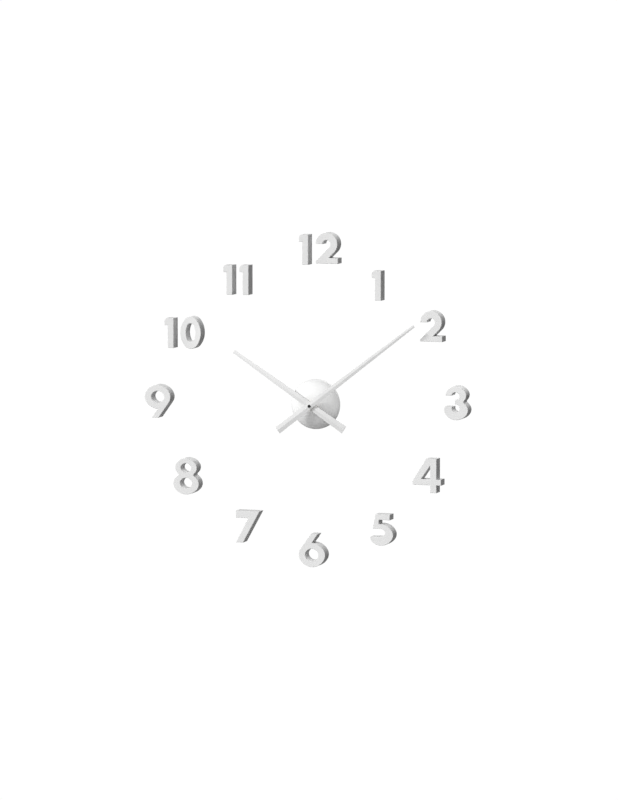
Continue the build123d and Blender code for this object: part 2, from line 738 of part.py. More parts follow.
with BuildPart() as hour_wheel:
    wheel_low, wheel_high = between("hour_wheel")
    toothed(
        HOUR_TEETH,
        HOUR_MODULE,
        gap_phase(HOUR_TEETH, SETTING_TURN + 180),
        centre_place,
        wheel_low,
        wheel_high,
    )
    rod(centre_place, HOUR_TUBE_RADIUS, wheel_low, hour_hand_front)
    rod(
        centre_place, MINUTE_SHAFT_RADIUS + RUNNING_CLEARANCE, wheel_low, hour_hand_front, mode=Mode.SUBTRACT
    )
save(hour_wheel.part, "hour_wheel")

with BuildPart() as setting_knob:
    knob_back = COVER_CLEARANCE
    knob_front = case_back - COVER_CLEARANCE
    with BuildSketch(level(knob_back)):
        with Locations(setting_place):
            Circle(KNOB_RADIUS)
            with PolarLocations(KNOB_RADIUS, KNOB_FLUTES):
                Circle(KNOB_FLUTE_RADIUS, mode=Mode.SUBTRACT)
    extrude(amount=knob_front - knob_back)
    pinion_low, pinion_high = between("setting_pinion")
    rod(setting_place, KNOB_STEM_RADIUS, knob_front, pinion_low)
    rod(setting_place, PIVOT_RADIUS, pinion_high, inside_front + PIVOT_DEPTH)
    toothed(
        SETTING_TEETH,
        SETTING_MODULE,
        gap_phase(SETTING_TEETH, SETTING_TURN),
        setting_place,
        *between("setting_wheel"),
    )
    toothed(SETTING_PINION_TEETH, HOUR_MODULE, SETTING_TURN + 180, setting_place, pinion_low, pinion_high)
save(setting_knob.part, "setting_knob")

# Movement case
pivot_places = [rotor_place, intermediate_place, second_place, third_place]
with BuildPart() as movement_case:
    with BuildSketch(level(case_back)):
        with Locations((0, inner_middle)):
            RectangleRounded(2 * (inner_half + CASE_WALL), inner_height + 2 * CASE_WALL, CASE_CORNER)
    extrude(amount=case_depth)
    with BuildSketch(level(case_back)):
        with Locations((0, inner_middle)):
            RectangleRounded(2 * inner_half, inner_height, corner_round)
    extrude(amount=case_depth - CASE_FRONT_WALL, mode=Mode.SUBTRACT)
    with BuildSketch(level(case_back)):
        with Locations((0, (partition_low + partition_high) / 2)):
            Rectangle(2 * (contact_inside - COVER_CLEARANCE), PARTITION_THICKNESS)
    extrude(amount=case_depth - CASE_FRONT_WALL / 2)
    with BuildSketch(level(inside_back)):
        with Locations(*post_places):
            Circle(POST_RADIUS)
    extrude(amount=inside_front - inside_back)
    with BuildSketch(level(inside_back)):
        with Locations(*post_places):
            Circle(SCREW_RADIUS)
    extrude(amount=SCREW_LENGTH - inside_back, mode=Mode.SUBTRACT)
    for place in [*pivot_places, setting_place]:
        hole = PIVOT_RADIUS + RUNNING_CLEARANCE
        rod(place, hole, inside_front, inside_front + PIVOT_DEPTH + RUNNING_CLEARANCE, mode=Mode.SUBTRACT)
    rod(centre_place, BUSHING_RADIUS, inside_front, case_front, mode=Mode.SUBTRACT)
save(movement_case.part, "movement_case")

cover_low = partition_high + COVER_CLEARANCE
cover_high = inner_top - COVER_CLEARANCE
with BuildPart() as movement_back_cover:
    with BuildSketch(level(case_back)):
        with Locations((0, (cover_low + cover_high) / 2)):
            Rectangle(2 * (inner_half - COVER_CLEARANCE), cover_high - cover_low)
    extrude(amount=BACK_COVER_THICKNESS)
    upright = movement_back_cover.edges().filter_by(Axis.Y)
    fillet(upright.group_by(Axis.Z)[-1], radius=corner_round)
    for place in [*pivot_places, centre_place]:
        hole = PIVOT_RADIUS + RUNNING_CLEARANCE
        rod(place, hole, inside_back - PIVOT_DEPTH - RUNNING_CLEARANCE, inside_back, mode=Mode.SUBTRACT)
    rod(setting_place, KNOB_STEM_RADIUS + RUNNING_CLEARANCE, case_back, inside_back, mode=Mode.SUBTRACT)
    for place in post_places:
        rod(place, SCREW_RADIUS + LOOSE_CLEARANCE, case_back, inside_back, mode=Mode.SUBTRACT)
save(movement_back_cover.part, "movement_back_cover")


# Hanger bracket, its screws and the wall pads
def countersinks(mode):
    """Cone of each screw head through the bracket, in the current part."""
    with BuildSketch(level(0)) as profile:
        with Locations(*post_places):
            Circle(SCREW_RADIUS + BRACKET_THICKNESS * math.tan(math.radians(SCREW_HEAD_TAPER)))
    extrude(profile.sketch, amount=BRACKET_THICKNESS, taper=SCREW_HEAD_TAPER, mode=mode)


bracket_low = post_places[0][1] - BRACKET_FOOT / 2
bracket_top = hub_inner_radius - BRACKET_RIM_GAP
nail_hole_place = bracket_top - NAIL_HOLE_INSET
with BuildPart() as hanger_bracket:
    with BuildSketch(level(0)) as bracket_outline:
        with Locations((0, bracket_low + BRACKET_FOOT / 2)):
            Rectangle(2 * inner_half, BRACKET_FOOT)
        with Locations((0, (bracket_low + bracket_top) / 2)):
            Rectangle(BRACKET_TAB_WIDTH, bracket_top - bracket_low)
        fillet(bracket_outline.vertices(), radius=BRACKET_CORNER)
        with Locations((0, nail_hole_place)):
            Circle(NAIL_HOLE_RADIUS, mode=Mode.SUBTRACT)
    extrude(amount=BRACKET_THICKNESS)
    countersinks(Mode.SUBTRACT)
save(hanger_bracket.part, "hanger_bracket")

with BuildPart() as case_screws:
    countersinks(Mode.ADD)
    for place in post_places:
        rod(place, SCREW_RADIUS, BRACKET_THICKNESS, SCREW_LENGTH)
save(case_screws.part, "case_screws")

pad_low = cover_low + WALL_PAD_GAP
pad_high = setting_place[1] - KNOB_RADIUS - WALL_PAD_GAP
with BuildPart() as hub_adhesive_pad:
    with BuildSketch(level(0)):
        with Locations((0, (pad_low + pad_high) / 2)):
            Rectangle(WALL_PAD_LENGTH, pad_high - pad_low)
    extrude(amount=PAD_THICKNESS)
save(hub_adhesive_pad.part, "hub_adhesive_pad")


# Battery and contacts, built along X
def crossways(x):
    """Plane across the battery, facing +X."""
    return Plane.YZ.offset(x)


battery_plus = contact_inside
battery_minus = battery_plus - BATTERY_LENGTH
battery_middle = (-battery_height, battery_place)
with BuildPart() as battery:
    with BuildSketch(crossways(battery_minus)):
        with Locations(battery_middle):
            Circle(BATTERY_RADIUS)
    extrude(amount=BATTERY_LENGTH - BATTERY_NUB_LENGTH)
    chamfer(battery.edges(), length=BATTERY_EDGE)
    with BuildSketch(crossways(battery_plus - BATTERY_NUB_LENGTH)):
        with Locations(battery_middle):
            Circle(BATTERY_NUB_RADIUS)
    extrude(amount=BATTERY_NUB_LENGTH)
save(battery.part, "battery")

contact_low = inner_low + corner_round
contact_middle = (-(inside_back + CONTACT_HEIGHT / 2), (contact_low + CONTACT_TOP) / 2)
with BuildPart() as battery_contact_positive:
    with BuildSketch(crossways(contact_inside)):
        with Locations(contact_middle):
            Rectangle(CONTACT_HEIGHT, CONTACT_TOP - contact_low)
    extrude(amount=CONTACT_THICKNESS)
save(battery_contact_positive.part, "battery_contact_positive")

with BuildPart() as battery_contact_negative:
    with BuildSketch(crossways(-inner_half)):
        with Locations(contact_middle):
            Rectangle(CONTACT_HEIGHT, CONTACT_TOP - contact_low)
    extrude(amount=CONTACT_THICKNESS)
    with BuildSketch(crossways(-contact_inside)):
        with Locations(battery_middle):
            Circle(CONTACT_SPRING_RADIUS)
    extrude(amount=battery_minus + contact_inside, taper=CONTACT_SPRING_LEAN)
save(battery_contact_negative.part, "battery_contact_negative")

# Circuit board with crystal and chip
board_low = cover_low + BOARD_GAP
board_front = inside_back + BOARD_THICKNESS
board_middle = board_low + BOARD_WIDTH / 2
with BuildPart() as circuit_board:
    with BuildSketch(level(inside_back)):
        with Locations((0, board_middle)):
            Rectangle(2 * contact_inside, BOARD_WIDTH)
    extrude(amount=BOARD_THICKNESS)
save(circuit_board.part, "circuit_board")

with BuildPart() as driver_chip:
    with BuildSketch(level(board_front)):
        with Locations((CHIP_PLACE, board_middle)):
            Circle(CHIP_RADIUS)
    extrude(amount=CHIP_HEIGHT)
    chamfer(driver_chip.faces().sort_by(Axis.Y)[0].edges(), length=CHIP_HEIGHT / 2)
save(driver_chip.part, "driver_chip")

with BuildPart() as quartz_crystal:
    with BuildSketch(crossways(CRYSTAL_PLACE - CRYSTAL_LENGTH / 2)):
        with Locations((-(board_front + CRYSTAL_RADIUS), board_middle)):
            Circle(CRYSTAL_RADIUS)
    extrude(amount=CRYSTAL_LENGTH)
save(quartz_crystal.part, "quartz_crystal")

# Coil and stator
stator_low, stator_high = between("stator")
core_middle = (-(stator_low + stator_high) / 2, coil_place)
with BuildPart() as drive_coil:
    with BuildSketch(crossways(-COIL_LENGTH / 2)):
        with Locations(core_middle):
            Circle(COIL_WINDING_RADIUS)
    extrude(amount=COIL_LENGTH)
    for start in (-COIL_LENGTH / 2, COIL_LENGTH / 2 - COIL_FLANGE):
        with BuildSketch(crossways(start)):
            with Locations(core_middle):
                Circle(COIL_RADIUS)
        extrude(amount=COIL_FLANGE)
    with BuildSketch(crossways(-COIL_LENGTH / 2)):
        with Locations(core_middle):
            Rectangle(stator_high - stator_low + COVER_CLEARANCE, CORE_WIDTH + COVER_CLEARANCE)
    extrude(amount=COIL_LENGTH, mode=Mode.SUBTRACT)
save(drive_coil.part, "drive_coil")

core_low = coil_place - CORE_WIDTH / 2
core_high = coil_place + CORE_WIDTH / 2
bar_high = coil_place - COIL_RADIUS - STATOR_BAR_GAP
bar_low = bar_high - STATOR_BAR_WIDTH
stator_half = post_places[1][0] - POST_RADIUS - STATOR_END_GAP
with BuildPart() as stator:
    with BuildSketch(level(stator_low)):
        with Locations((0, (bar_low + core_high) / 2)):
            Rectangle(2 * stator_half, core_high - bar_low)
        with Locations(rotor_place):
            Circle(STATOR_RING_RADIUS)
            Circle(MAGNET_RADIUS + MAGNET_AIR_GAP, mode=Mode.SUBTRACT)
        with Locations((0, (bar_high + core_low) / 2)):
            Rectangle(COIL_LENGTH + 2 * COIL_CLEARANCE, core_low - bar_high, mode=Mode.SUBTRACT)
    extrude(amount=stator_high - stator_low)
save(stator.part, "stator")
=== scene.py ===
import json
import math

import bmesh
import bpy
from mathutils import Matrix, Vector


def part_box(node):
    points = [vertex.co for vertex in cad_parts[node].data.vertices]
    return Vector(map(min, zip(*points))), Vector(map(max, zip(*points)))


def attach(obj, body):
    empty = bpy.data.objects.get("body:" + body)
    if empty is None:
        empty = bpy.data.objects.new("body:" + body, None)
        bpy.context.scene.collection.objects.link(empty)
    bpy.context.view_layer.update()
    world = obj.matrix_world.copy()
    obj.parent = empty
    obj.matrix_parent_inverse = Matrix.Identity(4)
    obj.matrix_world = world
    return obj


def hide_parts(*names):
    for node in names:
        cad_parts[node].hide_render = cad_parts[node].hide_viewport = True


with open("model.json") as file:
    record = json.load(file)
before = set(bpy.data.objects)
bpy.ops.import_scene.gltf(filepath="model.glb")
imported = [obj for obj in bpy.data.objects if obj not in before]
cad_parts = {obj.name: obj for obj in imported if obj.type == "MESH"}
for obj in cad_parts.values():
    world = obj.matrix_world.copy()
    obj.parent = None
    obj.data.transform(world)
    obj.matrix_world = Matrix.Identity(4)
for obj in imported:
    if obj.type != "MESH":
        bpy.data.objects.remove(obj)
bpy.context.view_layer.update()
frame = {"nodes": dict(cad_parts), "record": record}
NODES = frame["nodes"]
MM = 0.001

# Camera of the photograph
AZIMUTH, ELEVATION = math.radians(19), math.radians(6)
LENS, DISTANCE, CLIP_END = 200, 8.0, 100
AIM_RIGHT, AIM_UP = -0.01357, 0.00705

# Key light, and soft surroundings: where each part of them comes from, its strength and its tightness
KEY_FROM, KEY_STRENGTH, KEY_ANGLE = Vector((-1.0, -0.9, 0.8)), 1.8, math.radians(12)
LOBES = (
    ((-1, 0, -1), 0.2, 1),
    ((-1, 0, 0), 1.1, 5),
    ((0, -1, 0), 0.74, 5),
    ((0, -1, 1), 1.0, 5),
    ((1, -1, 1), 0.4, 5),
    ((0, 1, 0.5), 2.4, 14),
)
WHITE_STRENGTH, WHITE_SHEEN = 1.02, 0.2

# Small lamps on the hub and the hour hand: place, target, power, cone and softness of its edge
LAMP_SIZE = 0.02
LAMPS = (
    ((1.2, -0.14, 0.32), (0, 0, 0), 22, math.radians(4.6), 0.5),
    ((-1.2, -0.7, 0.85), (-0.135, -0.035, 0.095), 30, math.radians(6.4), 1.0),
)
FLOOR_DROP, FLOOR_RADIUS, FLOOR_SIDES = 1.9, 1.0, 96

# Where a noise pattern has most of its values, and where a front begins and is whole, by the normal's Y
NOISE_LOW, NOISE_HIGH = 0.3, 0.7
# The numerals' sides are painted darker as shade, and their front colour begins and is whole at these
# values
FRONT_STARTS, FRONT_WHOLE = -0.4, -0.8
# The two colours that go into a mix node and the one that comes out, by the number of the socket
MIX_FIRST, MIX_SECOND, MIX_RESULT = 6, 7, 2

# Sharp edges, points that are one point, and how finely round forms are divided
SHARP_ANGLE, WELD = math.radians(32), MM / 1000
TURNED_SIDES, BATTERY_SIDES, WINDING_SIDES = 40, 72, 28
THREAD_ROWS, CORNER_STEPS, WIRE_ROUNDING, SPRING_POINTS = 4, 6, 4, 14

# Sizes of the fine pieces, with a thread as its pitch and its depth
BUSHING_BORE, BUSHING_THREAD = 2.55 * MM, (0.75 * MM, 0.4 * MM)
SCREW_HEAD, SCREW_SHANK, SCREW_SINK = 2.1 * MM, 1.1 * MM, 1.0 * MM
SCREW_TIP, SCREW_POINT, SCREW_RIM = 0.9 * MM, SCREW_SHANK / 4, 0.2 * MM
SCREW_THREAD = (0.8 * MM, 0.25 * MM)
CROSS_REACH, CROSS_HALF, CROSS_DEPTH, CROSS_FLOOR_SHARE = 1.3 * MM, 0.28 * MM, 0.75 * MM, 0.6
SLEEVE_FOLD, SLEEVE_MOUTH = 0.6 * MM, 5.9 * MM
NUB_RADIUS, NUB_LENGTH, CAN_PAD = 2.75 * MM, 1.0 * MM, 3.4 * MM
STRIP_THICKNESS, STRIP_CORNER = 0.5 * MM, 1.2 * MM
STRIP_BEVEL, STRIP_BEVEL_STEPS = STRIP_THICKNESS / 6, 2
SPRING_WIRE, SPRING_WIDE, SPRING_NARROW, SPRING_TURNS = 0.25 * MM, 3.2 * MM, 1.3 * MM, 3
BOBBIN_FLANGE, BOBBIN_CORE, BOBBIN_BORE = 0.8 * MM, 1.75 * MM, 1.3 * MM
WINDING_RADIUS, WINDING_GROOVE, WINDING_PITCH = 2.5 * MM, 0.13 * MM, 0.3 * MM
FOAM_CORNER, FOAM_SWELL, FOAM_RINGS, FOAM_FILL = 0.9 * MM, 0.25 * MM, 9, 0.9


# Materials
class Shade:
    """A procedural material, built up node by node."""

    def __init__(self, name, **sockets):
        self.made = bpy.data.materials.new(name)
        self.made.use_nodes = True
        self.tree = self.made.node_tree
        self.shader = self.tree.nodes["Principled BSDF"]
        for socket, value in sockets.items():
            self.shader.inputs[socket.replace("_", " ")].default_value = value
        self.place = self.node("ShaderNodeTexCoord").outputs["Object"]

    def node(self, kind, **fields):
        made = self.tree.nodes.new(kind)
        for field, value in fields.items():
            setattr(made, field, value)
        return made

    def link(self, start, end):
        self.tree.links.new(start, end)

    def stretched(self, stretch):
        mapping = self.node("ShaderNodeMapping")
        mapping.inputs["Scale"].default_value = stretch
        self.link(self.place, mapping.inputs["Vector"])
        return mapping.outputs["Vector"]

    def noise(self, scale, detail=2.0, stretch=None):
        made = self.node("ShaderNodeTexNoise")
        made.inputs["Scale"].default_value = scale
        made.inputs["Detail"].default_value = detail
        self.link(self.stretched(stretch) if stretch else self.place, made.inputs["Vector"])
        return made.outputs["Fac"]

    def cells(self, scale):
        made = self.node("ShaderNodeTexVoronoi")
        made.inputs["Scale"].default_value = scale
        self.link(self.place, made.inputs["Vector"])
        return made.outputs["Distance"]

    def bands(self, scale, direction):
        made = self.node("ShaderNodeTexWave", bands_direction=direction)
        made.inputs["Scale"].default_value = scale
        self.link(self.place, made.inputs["Vector"])
        return made.outputs["Fac"]

    def ramp(self, pattern, dark, light, low=NOISE_LOW, high=NOISE_HIGH):
        made = self.node("ShaderNodeValToRGB")
        first, last = made.color_ramp.elements
        first.position, last.position = low, high
        first.color, last.color = (*dark, 1), (*light, 1)
        self.link(pattern, made.inputs["Fac"])
        return made.outputs["Color"]

    def colour(self, pattern, dark, light, low=NOISE_LOW, high=NOISE_HIGH):
        self.link(self.ramp(pattern, dark, light, low, high), self.shader.inputs["Base Color"])

    def paint_side_shade(self, sides, front):
        """One colour on the sides of a piece and another on its front, told apart by the normal's Y; the
        darker sides are painted shade.
        """
        turned = self.node("ShaderNodeSeparateXYZ")
        self.link(self.node("ShaderNodeTexCoord").outputs["Normal"], turned.inputs["Vector"])
        facing = self.node("ShaderNodeMapRange")
        facing.inputs["From Min"].default_value = FRONT_STARTS
        facing.inputs["From Max"].default_value = FRONT_WHOLE
        self.link(turned.outputs["Y"], facing.inputs["Value"])
        mix = self.node("ShaderNodeMix", data_type="RGBA")
        self.link(facing.outputs["Result"], mix.inputs["Factor"])
        self.link(sides, mix.inputs[MIX_FIRST])
        self.link(front, mix.inputs[MIX_SECOND])
        self.link(mix.outputs[MIX_RESULT], self.shader.inputs["Base Color"])

    def rough(self, pattern, low, high):
        spread = self.node("ShaderNodeMapRange")
        spread.inputs["From Min"].default_value = NOISE_LOW
        spread.inputs["From Max"].default_value = NOISE_HIGH
        spread.inputs["To Min"].default_value = low
        spread.inputs["To Max"].default_value = high
        self.link(pattern, spread.inputs["Value"])
        self.link(spread.outputs["Result"], self.shader.inputs["Roughness"])

    def bump(self, pattern, height, strength=1.0):
        made = self.node("ShaderNodeBump")
        made.inputs["Distance"].default_value = height
        made.inputs["Strength"].default_value = strength
        self.link(pattern, made.inputs["Height"])
        self.link(made.outputs["Normal"], self.shader.inputs["Normal"])


def white_plastic():
    shade = Shade("numeral_plastic", Specular_IOR_Level=0.5)
    face = shade.ramp(shade.noise(38, 4), (0.815, 0.815, 0.815), (0.85, 0.85, 0.848))
    # Painted shade: the sides get a darker grey than the front, in place of the shading that falls on them
    edge = shade.ramp(shade.noise(900, 5, (1, 0.06, 1)), (0.67, 0.67, 0.67), (0.73, 0.73, 0.729))
    shade.paint_side_shade(edge, face)
    shade.rough(shade.noise(420, 3), 0.24, 0.34)
    shade.bump(shade.noise(2600, 2), 0.006 * MM, 0.5)
    return shade.made


def gloss_plastic():
    shade = Shade("hub_plastic", Coat_Weight=0.25, Coat_Roughness=0.12, Specular_IOR_Level=0.4)
    shade.colour(shade.noise(30, 3), (0.82, 0.82, 0.82), (0.85, 0.85, 0.848))
    shade.rough(shade.noise(160, 3), 0.30, 0.40)
    shade.bump(shade.noise(700, 2), 0.006 * MM, 0.35)
    return shade.made


def lacquer():
    shade = Shade("hand_lacquer", Coat_Weight=0.15, Coat_Roughness=0.2, Specular_IOR_Level=0.4)
    shade.colour(shade.noise(60, 4), (0.76, 0.76, 0.76), (0.795, 0.795, 0.793))
    shade.rough(shade.noise(500, 3), 0.34, 0.46)
    shade.bump(shade.noise(1400, 2), 0.006 * MM, 0.4)
    return shade.made


def foam():
    shade = Shade("foam_tape", Specular_IOR_Level=0.2)
    shade.colour(shade.noise(600, 4), (0.72, 0.72, 0.69), (0.86, 0.86, 0.83))
    shade.rough(shade.noise(900, 2), 0.75, 0.95)
    shade.bump(shade.cells(2200), 0.12 * MM, 0.6)
    return shade.made


def turned_metal(name, dark, light, low, high, stretch=(1, 9, 1)):
    shade = Shade(name, Metallic=1.0)
    shade.colour(shade.noise(260, 4, stretch), dark, light)
    shade.rough(shade.noise(700, 3, stretch), low, high)
    shade.bump(shade.noise(1500, 3, stretch), 0.02 * MM, 0.4)
    return shade.made


def moulded(name, dark, light, low, high, grain=1800, height=0.05 * MM, specular=0.4):
    shade = Shade(name, Specular_IOR_Level=specular)
    shade.colour(shade.noise(180, 4), dark, light)
    shade.rough(shade.noise(500, 3), low, high)
    shade.bump(shade.noise(grain, 3), height, 0.6)
    return shade.made


def paper_board():
    shade = Shade("paper_board", Specular_IOR_Level=0.4)
    shade.colour(shade.noise(420, 6, (1, 1, 4)), (0.26, 0.13, 0.045), (0.40, 0.23, 0.09))
    shade.rough(shade.noise(600, 3), 0.45, 0.65)
    shade.bump(shade.noise(1600, 3, (1, 1, 4)), 0.03 * MM, 0.5)
    return shade.made


def winding():
    shade = Shade("copper_winding", Metallic=0.85)
    # Painted shade: the colour darkens in the same bands as the bump, in the grooves between the turns
    shade.colour(shade.bands(900, "X"), (0.34, 0.12, 0.05), (0.72, 0.34, 0.16), 0.1, 0.9)
    shade.rough(shade.noise(900, 3), 0.25, 0.4)
    shade.bump(shade.bands(900, "X"), 0.08 * MM, 0.8)
    return shade.made


def floor_paint():
    shade = Shade("studio_floor", Specular_IOR_Level=0.2)
    shade.colour(shade.noise(3, 4), (0.80, 0.80, 0.79), (0.84, 0.84, 0.835))
    shade.rough(shade.noise(20, 3), 0.7, 0.9)
    return shade.made


BRASS = turned_metal("turned_brass", (0.55, 0.36, 0.11), (0.72, 0.51, 0.2), 0.22, 0.36)
DARK_NUT = turned_metal("blackened_nut", (0.02, 0.02, 0.021), (0.05, 0.05, 0.052), 0.3, 0.45)
ZINC = turned_metal("zinc_plate", (0.42, 0.43, 0.45), (0.62, 0.63, 0.65), 0.28, 0.45, (1, 1, 6))
SCREW = turned_metal("screw_plate", (0.55, 0.55, 0.56), (0.72, 0.72, 0.73), 0.2, 0.32, (1, 1, 1))
NICKEL = turned_metal("nickel_strip", (0.5, 0.49, 0.46), (0.68, 0.66, 0.62), 0.2, 0.34, (1, 6, 1))
IRON = turned_metal("punched_iron", (0.26, 0.26, 0.27), (0.42, 0.42, 0.44), 0.35, 0.5, (6, 1, 1))
CASE = moulded("case_plastic", (0.014, 0.014, 0.015), (0.026, 0.026, 0.028), 0.45, 0.6, 1500, 0.08 * MM)
GEAR = moulded("gear_plastic", (0.66, 0.62, 0.51), (0.76, 0.73, 0.64), 0.35, 0.5)
KNOB = moulded("knob_plastic", (0.62, 0.62, 0.6), (0.72, 0.72, 0.7), 0.4, 0.55)
RUBBER = moulded("washer_rubber", (0.012, 0.012, 0.012), (0.03, 0.03, 0.03), 0.7, 0.9, 1200, 0.1 * MM, 0.25)
MAGNET = moulded("bonded_magnet", (0.05, 0.05, 0.055), (0.1, 0.1, 0.11), 0.4, 0.6)
RESIN = moulded("chip_resin", (0.008, 0.008, 0.008), (0.02, 0.02, 0.02), 0.12, 0.3, 900, 0.06 * MM)
SLEEVE = moulded("battery_sleeve", (0.10, 0.11, 0.125), (0.135, 0.145, 0.165), 0.2, 0.3, 500, 0.03 * MM)
PLASTIC, HUB, LACQUER, FOAM = white_plastic(), gloss_plastic(), lacquer(), foam()

FINISHES = {
    "foam_tape": FOAM,
    "numeral_plastic": PLASTIC,
    "hub_plastic": HUB,
    "hand_metal": LACQUER,
    "brass": BRASS,
    "shaft_brass": BRASS,
    "dark_nut": DARK_NUT,
    "washer_rubber": RUBBER,
    "case_plastic": CASE,
    "gear_plastic": GEAR,
    "magnet": MAGNET,
    "spring_steel": ZINC,
    "zinc_steel": ZINC,
    "nickel_strip": NICKEL,
    "battery_sleeve": SLEEVE,
    "board": paper_board(),
    "chip_resin": RESIN,
    "crystal_can": NICKEL,
    "copper_wire": winding(),
    "stator_iron": IRON,
}
for entry in frame["record"]["subparts"]:
    node = NODES[entry["node"]]
    finish = KNOB if entry["node"] == "setting_knob" else FINISHES[entry["material_slot"]]
    node.data.materials.clear()
    node.data.materials.append(finish)


# Means for making pieces
def add(name, data):
    """A new object in the scene."""
    made = bpy.data.objects.new(name, data)
    bpy.context.collection.objects.link(made)
    return made


def settle(name, data, slot, *nodes):
    """A piece on the fixed body, in place of the nodes named."""
    item = add(name, data)
    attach(item, "clock_base")
    if nodes:
        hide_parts(*nodes)
    return item


def mesh_of(name, made):
    """The mesh of a shape in the making, which it uses up."""
    bmesh.ops.recalc_face_normals(made, faces=made.faces)
    mesh = bpy.data.meshes.new(name)
    made.to_mesh(mesh)
    made.free()
    return mesh


def piece(name, made, finish, slot, *nodes):
    mesh = mesh_of(name, made)
    mesh.shade_smooth()
    mesh.set_sharp_from_angle(angle=SHARP_ANGLE)
    mesh.materials.append(finish)
    return settle(name, mesh, slot, *nodes)


def lathe(made, profile, origin, along, thread=None, closed=False, sides=TURNED_SIDES):
    """A surface turned about a line, from distances along it, radii and whether a thread is cut there."""
    along = Vector(along)
    side = along.orthogonal().normalized()
    up = along.cross(side)
    rings = []
    for distance, radius, *cut in profile:
        middle = Vector(origin) + along * distance
        ring = []
        for step in range(sides):
            turn = 2 * math.pi * step / sides
            reach = radius
            if cut:
                pitch, depth = thread
                reach -= depth * abs(2 * ((distance / pitch - step / sides) % 1) - 1)
            if radius or not ring:
                ring.append(made.verts.new(middle + (side * math.cos(turn) + up * math.sin(turn)) * reach))
        rings.append(ring)
    for low, high in zip(rings, rings[1:] + (rings[:1] if closed else [])):
        for step in range(sides):
            corners = [ring[place % len(ring)] for ring, place in
                       ((low, step - 1), (low, step), (high, step), (high, step - 1))]
            corners = list(dict.fromkeys(corners))
            if len(corners) > 2:
                made.faces.new(corners)


def stack(made, rings):
    """A closed surface through rings with as many points each, flat at both ends."""
    rows = [[made.verts.new(point) for point in ring] for ring in rings]
    made.faces.new(rows[0])
    made.faces.new(rows[-1])
    for low, high in zip(rows, rows[1:]):
        for place in range(len(low)):
            made.faces.new((low[place - 1], low[place], high[place], high[place - 1]))


def rounded(low, high, corner):
    """The points round a rectangle with rounded corners."""
    left, right = low[0] + corner, high[0] - corner
    foot, top = low[1] + corner, high[1] - corner
    points = []
    for turn, middle in enumerate(((right, top), (left, top), (left, foot), (right, foot))):
        for step in range(CORNER_STEPS + 1):
            angle = math.pi / 2 * (turn + step / CORNER_STEPS)
            points.append(Vector(middle) + Vector((math.cos(angle), math.sin(angle))) * corner)
    return points


def carve(name, blank, cutter):
    """One shape less another."""
    items = [add(part, mesh_of(part, shape)) for part, shape in ((name, blank), (name + "_cutter", cutter))]
    cut = items[0].modifiers.new("cut", "BOOLEAN")
    cut.object = items[1]
    cut.solver = "EXACT"
    carved = bmesh.new()
    carved.from_object(items[0], bpy.context.evaluated_depsgraph_get())
    for item in items:
        bpy.data.objects.remove(item)
    return carved


def steps(start, end, step):
    """Even places from start to end, at most a step apart."""
    count = math.ceil((end - start) / step)
    return [start + (end - start) * place / count for place in range(count + 1)]


def middle_of(node):
    """The lowest and highest corners of a node, and its middle."""
    low, high = (Vector(corner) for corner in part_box(node))
    return low, high, (low + high) / 2


def solids_of(node):
    """The lowest and highest corners of each separate solid in a node."""
    shape = bmesh.new()
    shape.from_mesh(NODES[node].data)
    bmesh.ops.remove_doubles(shape, verts=shape.verts, dist=WELD)
    boxes = []
    for first in shape.verts:
        if first.tag:
            continue
        first.tag = True
        island = [first]
        for vert in island:
            for other in (edge.other_vert(vert) for edge in vert.link_edges):
                if not other.tag:
                    other.tag = True
                    island.append(other)
        places = list(zip(*(vert.co for vert in island)))
        boxes.append((Vector(map(min, places)), Vector(map(max, places))))
    shape.free()
    return boxes


# Fine pieces that stand for plainer ones
def foam_tape(name, node):
    """Die-cut foam, whose sides swell where it is pressed between two faces."""
    made = bmesh.new()
    for low, high in solids_of(node):
        rings = []
        for step in range(FOAM_RINGS):
            turn = math.pi * step / (FOAM_RINGS - 1)
            inset = FOAM_SWELL * (1 - math.sin(turn))
            y = low.y + (high.y - low.y) * (1 - math.cos(turn)) / 2
            outline = rounded((low.x + inset, low.z + inset), (high.x - inset, high.z - inset), FOAM_CORNER)
            rings.append([(x, y, z) for x, z in outline])
        stack(made, rings)
    piece(name, made, FOAM, "foam_tape", node)


def bushing():
    low, high, middle = middle_of("threaded_bushing")
    length, radius = high.y - low.y, (high.x - low.x) / 2
    rows = steps(0, length, BUSHING_THREAD[0] / THREAD_ROWS)
    profile = [(distance, radius, True) for distance in rows] + [(length, BUSHING_BORE), (0, BUSHING_BORE)]
    made = bmesh.new()
    lathe(made, profile, (middle.x, high.y, middle.z), (0, -1, 0), BUSHING_THREAD, closed=True)
    piece("bushing_with_thread", made, BRASS, "brass", "threaded_bushing")


def cross_recess(made, middle):
    """A cross that narrows towards its floor."""
    x, y, z = middle
    arm = [(CROSS_HALF, CROSS_REACH), (CROSS_HALF, CROSS_HALF), (CROSS_REACH, CROSS_HALF)]
    outline = arm + [(b, -a) for a, b in arm] + [(-a, -b) for a, b in arm] + [(-b, a) for a, b in arm]
    stack(made, [[(x + a * share, y + rise, z + b * share) for a, b in outline]
                 for share, rise in ((1, CROSS_DEPTH), (CROSS_FLOOR_SHARE, -CROSS_DEPTH))])


def screws():
    low, high, middle = middle_of("case_screws")
    length, face = high.y - low.y, SCREW_HEAD - SCREW_RIM
    rows = steps(SCREW_SINK, length - SCREW_TIP, SCREW_THREAD[0] / THREAD_ROWS)
    profile = [(0, 0), (0, face), (SCREW_RIM, face)]
    profile += [(distance, SCREW_SHANK, True) for distance in rows]
    profile += [(length, SCREW_POINT), (length, 0)]
    made, cutter = bmesh.new(), bmesh.new()
    for x in (low.x + SCREW_HEAD, high.x - SCREW_HEAD):
        head = (x, high.y, middle.z)
        lathe(made, profile, head, (0, -1, 0), SCREW_THREAD)
        cross_recess(cutter, head)
    piece("cross_head_screws", carve("screw_blank", made, cutter), SCREW, "zinc_steel", "case_screws")


